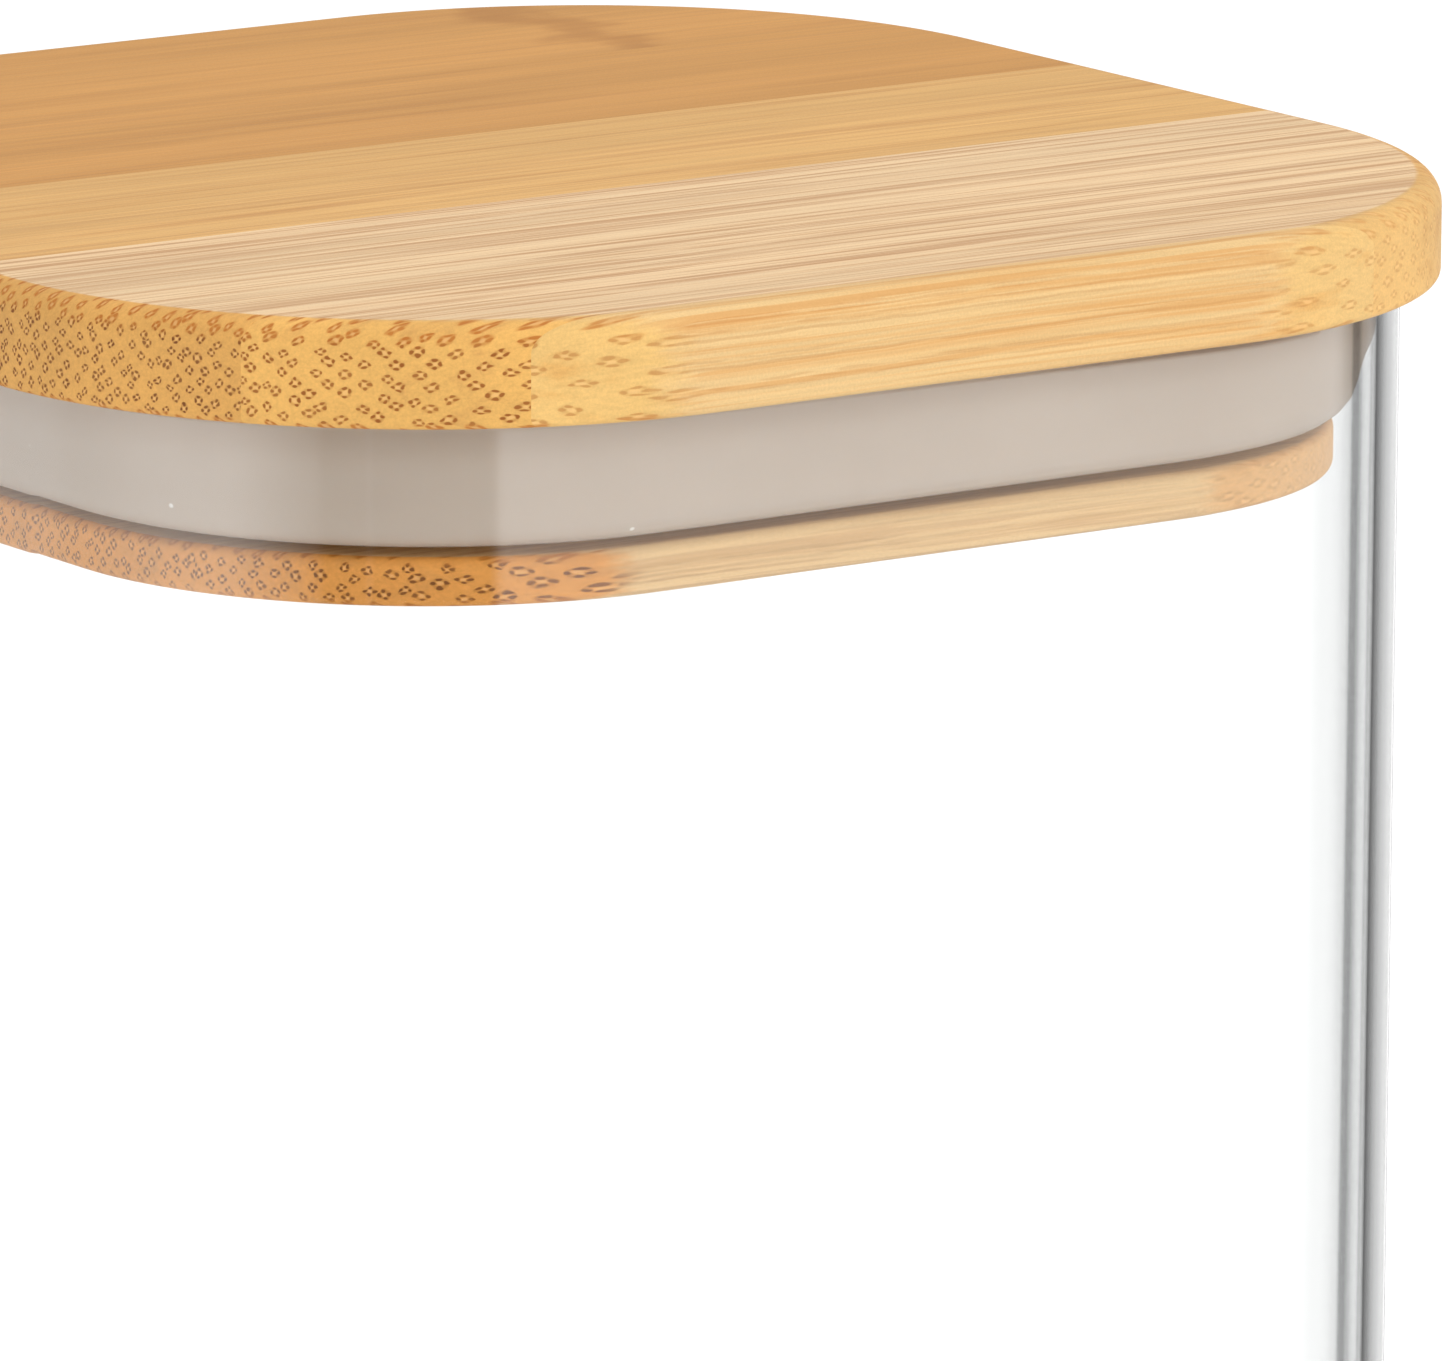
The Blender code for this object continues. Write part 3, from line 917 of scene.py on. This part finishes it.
# %% Bamboo materials
def make_bamboo(name, **given):
    """Sanded and thinly oiled bamboo of one strip, with its own values for the fibre group."""
    material, tree, output = new_material(name)
    fibres = tree.nodes.new("ShaderNodeGroup")
    fibres.node_tree = fibre_group
    for socket, value in given.items():
        fibres.inputs[socket.replace("_", " ").title()].default_value = value
    bump = add(tree, "ShaderNodeBump", {"Height": fibres.outputs["Height"], "Strength": 0.35,
                                        "Distance": 0.05 * MM})
    shader = add(tree, "ShaderNodeBsdfPrincipled", {
        "Base Color": fibres.outputs["Colour"], "Roughness": fibres.outputs["Roughness"],
        "IOR": 1.45, "Metallic": 0.0, "Specular IOR Level": 0.3, "Normal": bump.outputs[0]})
    tree.links.new(shader.outputs[0], output.inputs["Surface"])
    return material


# %% [markdown]
# ## Lid boards
#
# The lid is two plies, a plate and a plug, and each ply was glued up from strips, cut to shape and
# rounded at its edges as one board. The model follows the same order: sweep the whole board, then cut
# copies of it at the glue lines. The rounded edges then meet exactly from strip to strip, which six
# strips that are shaped one by one would not do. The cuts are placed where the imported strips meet.

# %% Plate and plug
PLATE_TOP_ROUND = 1.8 * MM
PLATE_LOWER_ROUND = 0.5 * MM
FLANGE_ROUND = 0.6 * MM


def glue_lines(nodes):
    """Where neighbouring strips meet, from front to back."""
    return [(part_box(a)[1].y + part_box(b)[0].y) / 2 for a, b in zip(nodes, nodes[1:])]


def plate_board():
    """The plate before it is split into strips."""
    edge = PLATE - PLATE_LOWER_ROUND
    points = arc((edge, PLATE_BOTTOM + PLATE_LOWER_ROUND), PLATE_LOWER_ROUND, -90, 0, 4)
    points += arc((PLATE - PLATE_TOP_ROUND, LID_TOP - PLATE_TOP_ROUND), PLATE_TOP_ROUND, 0, 90, 10)
    bm = sweep_section(points, closed=False)
    close_ends(bm)
    return bm


def plug_board():
    """The plug before it is split: a flange at the foot of a narrower core."""
    edge = FLANGE - FLANGE_ROUND
    points = arc((edge, FLANGE_BOTTOM + FLANGE_ROUND), FLANGE_ROUND, -90, 0, 5)
    points += arc((edge, FLANGE_TOP - FLANGE_ROUND), FLANGE_ROUND, 0, 90, 5)
    points += [(CORE, FLANGE_TOP), (CORE, PLATE_BOTTOM)]
    bm = sweep_section(points, closed=False)
    close_ends(bm)
    return bm


# %% Strips
def cut_strip(board, low, high):
    """A copy of the board between two glue lines, closed where it is cut."""
    bm = board.copy()
    for y, direction in ((low, 1), (high, -1)):
        if y is None:
            continue
        cut = bmesh.ops.bisect_plane(bm, geom=bm.verts[:] + bm.edges[:] + bm.faces[:],
                                     plane_co=(0, y, 0), plane_no=(0, direction, 0), clear_inner=True)
        rim = [item for item in cut["geom_cut"] if isinstance(item, bmesh.types.BMEdge)]
        # A cut meets a board's rounded corner at a slight angle, so its rim is marked sharp here.
        for edge in rim:
            edge.smooth = False
        bmesh.ops.contextual_create(bm, geom=rim)
    return bm


def make_strips(board, nodes, finishes):
    """Split a board at its glue lines and finish each strip in its own bamboo."""
    edges = [None, *glue_lines(nodes), None]
    for node, low, high, finish in zip(nodes, edges, edges[1:], finishes):
        strip = cut_strip(board, low, high)
        material = make_bamboo(f"bamboo_{node}", **finish)
        finish_piece(strip, f"{node}_finished", material, "lid", [node])
    board.free()


# %% [markdown]
# ## Finishes of the strips
#
# Every strip comes from another stalk, and its tone is what lets the eye find the glue lines. The
# front strip shows its golden side, with warm lines. The next two are pale on top and finely lined,
# and the others are golden to warm brown. The last one has a knot. The plug's strips are alike.

# %% Finishes, from front to back
END_GOLD = (0.71, 0.395, 0.107, 1.0)
END_TAN = (0.66, 0.345, 0.09, 1.0)
END_BROWN = (0.63, 0.31, 0.085, 1.0)
PALE_FACE = (0.765, 0.547, 0.317, 1.0)
GOLD_FACE = (0.693, 0.406, 0.145, 1.0)
WARM_FACE = (0.60, 0.30, 0.086, 1.0)
PLUG_FACE = (0.74, 0.49, 0.24, 1.0)
PLATE_FINISHES = (
    dict(shift=(10.0, 3.0, 5.3), spacing=1.5, far_end=0.6, bundle_strength=0.6,
         face_bundle_strength=0.3, line_strength=0.75, streak_strength=0.5,
         face_colour=(0.70, 0.47, 0.22, 1.0), edge_colour=(0.69, 0.465, 0.21, 1.0),
         end_colour=(0.70, 0.44, 0.15, 1.0), fibre_colour=(0.38, 0.15, 0.03, 1.0),
         line_colour=(0.58, 0.27, 0.07, 1.0), streak_colour=(0.60, 0.28, 0.065, 1.0)),
    dict(shift=(40.0, 11.0, 2.0), spacing=1.3, far_end=0.25, line_strength=0.8, streak_strength=0.35,
         face_colour=PALE_FACE, end_colour=END_GOLD, fibre_colour=(0.29, 0.09, 0.012, 1.0)),
    dict(shift=(75.0, 23.0, 7.0), spacing=1.22, line_strength=0.75, streak_strength=0.2,
         face_colour=PALE_FACE, end_colour=END_TAN),
    dict(shift=(5.0, 37.0, 1.0), spacing=1.18, line_strength=0.35, streak_strength=0.6,
         face_colour=GOLD_FACE, end_colour=END_BROWN),
    dict(shift=(90.0, 41.0, 4.0), spacing=1.18, line_strength=0.2, streak_strength=0.55,
         face_colour=WARM_FACE, end_colour=END_BROWN),
    dict(shift=(33.0, 57.0, 9.0), spacing=1.2, line_strength=0.15, streak_strength=0.45,
         node_place=29.0, face_colour=WARM_FACE, end_colour=END_BROWN),
)
PLUG_FINISHES = tuple(
    dict(shift=(20.0 * number, 13.0 * number, 30.0), spacing=1.2, far_end=0.15, bundle_strength=0.95,
         line_strength=0.4, streak_strength=0.4, face_colour=PLUG_FACE, edge_colour=PLUG_FACE,
         end_colour=(0.71, 0.30, 0.065, 1.0))
    for number in range(len(plug_nodes)))

make_strips(plate_board(), plate_nodes, PLATE_FINISHES)
make_strips(plug_board(), plug_nodes, PLUG_FINISHES)
